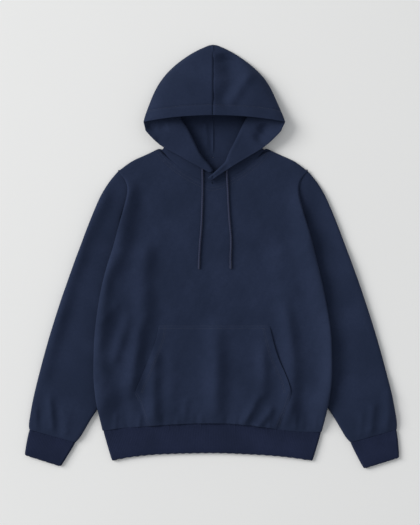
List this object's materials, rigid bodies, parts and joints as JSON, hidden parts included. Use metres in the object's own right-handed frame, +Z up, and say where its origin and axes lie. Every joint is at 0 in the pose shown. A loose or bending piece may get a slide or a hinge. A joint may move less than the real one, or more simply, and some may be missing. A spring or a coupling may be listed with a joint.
{
  "type": "pullover hoodie",
  "caption": "Pullover hoodie laid flat on its back, hood spread above the neck, with drawcord ends, a kangaroo pocket, and ribbed cuffs and waistband.",
  "frame": {"origin": "on the surface it lies on, below the middle of the garment's outline", "axes": "+X to the viewer's right across the body, +Y from the waistband to the hood, +Z up from the surface, out of the garment's front"},
  "size_m": [0.8643, 0.9775, 0.045],
  "materials": {
    "fleece": "soft matte brushed-back fleece, navy",
    "rib": "matte one-by-one rib knit, darker navy",
    "drawcord": "matte round braided cord, navy"
  },
  "bodies": {
    "root": {"front_body": "fleece", "back_body": "fleece", "pocket": "fleece", "hem_band": "rib", "sleeve_left": "fleece", "cuff_left": "rib", "hood_left": "fleece", "drawcord_left": "drawcord", "sleeve_right": "fleece", "cuff_right": "rib", "hood_right": "fleece", "drawcord_right": "drawcord"}
  },
  "joints": []
}
